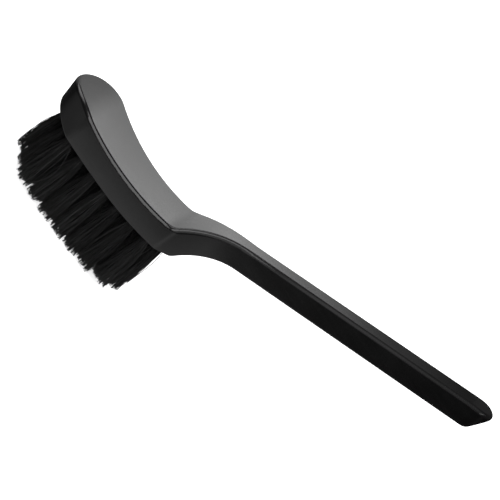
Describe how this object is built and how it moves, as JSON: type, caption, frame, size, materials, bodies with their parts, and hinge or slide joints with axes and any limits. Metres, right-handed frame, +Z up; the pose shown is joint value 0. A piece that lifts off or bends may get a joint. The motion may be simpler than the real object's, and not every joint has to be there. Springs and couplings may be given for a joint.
{
  "type": "wheel brush",
  "caption": "Hand brush for wheels and tyres: a curved, spoon-shaped moulded head with rows of stiff bristle tufts on a short gooseneck handle.",
  "frame": {"origin": "centre of the brush's length and width, on the surface that its lowest bristle tips touch", "axes": "+X from the toe of the head to the end of the handle, +Z up with the bristles pointing down, Y across the head"},
  "size_m": [0.265, 0.0597, 0.1311],
  "materials": {
    "body_plastic": "black moulded polypropylene, satin to gloss",
    "bristle": "black stiff crimped filament, cut tips",
    "anchor_wire": "flat galvanised wire"
  },
  "bodies": {
    "root": {"brush_body": "body_plastic", "tuft_anchors": "anchor_wire", "tuft_row1_1": "bristle", "tuft_row1_2": "bristle", "tuft_row1_3": "bristle", "tuft_row1_4": "bristle", "tuft_row1_5": "bristle", "tuft_row1_6": "bristle", "tuft_row1_7": "bristle", "tuft_row2_1": "bristle", "tuft_row2_2": "bristle", "tuft_row2_3": "bristle", "tuft_row2_4": "bristle", "tuft_row2_5": "bristle", "tuft_row2_6": "bristle", "tuft_row2_7": "bristle", "tuft_row2_8": "bristle", "tuft_row3_1": "bristle", "tuft_row3_2": "bristle", "tuft_row3_3": "bristle", "tuft_row3_4": "bristle", "tuft_row3_5": "bristle", "tuft_row3_6": "bristle", "tuft_row3_7": "bristle", "tuft_row3_8": "bristle", "tuft_row4_1": "bristle", "tuft_row4_2": "bristle", "tuft_row4_3": "bristle", "tuft_row4_4": "bristle", "tuft_row4_5": "bristle", "tuft_row4_6": "bristle", "tuft_row4_7": "bristle", "tuft_row4_8": "bristle", "tuft_row5_1": "bristle", "tuft_row5_2": "bristle", "tuft_row5_3": "bristle", "tuft_row5_4": "bristle", "tuft_row5_5": "bristle", "tuft_row5_6": "bristle", "tuft_row5_7": "bristle", "tuft_row5_8": "bristle", "tuft_row6_1": "bristle", "tuft_row6_2": "bristle", "tuft_row6_3": "bristle", "tuft_row6_4": "bristle", "tuft_row6_5": "bristle", "tuft_row6_6": "bristle", "tuft_row6_7": "bristle"}
  },
  "joints": []
}
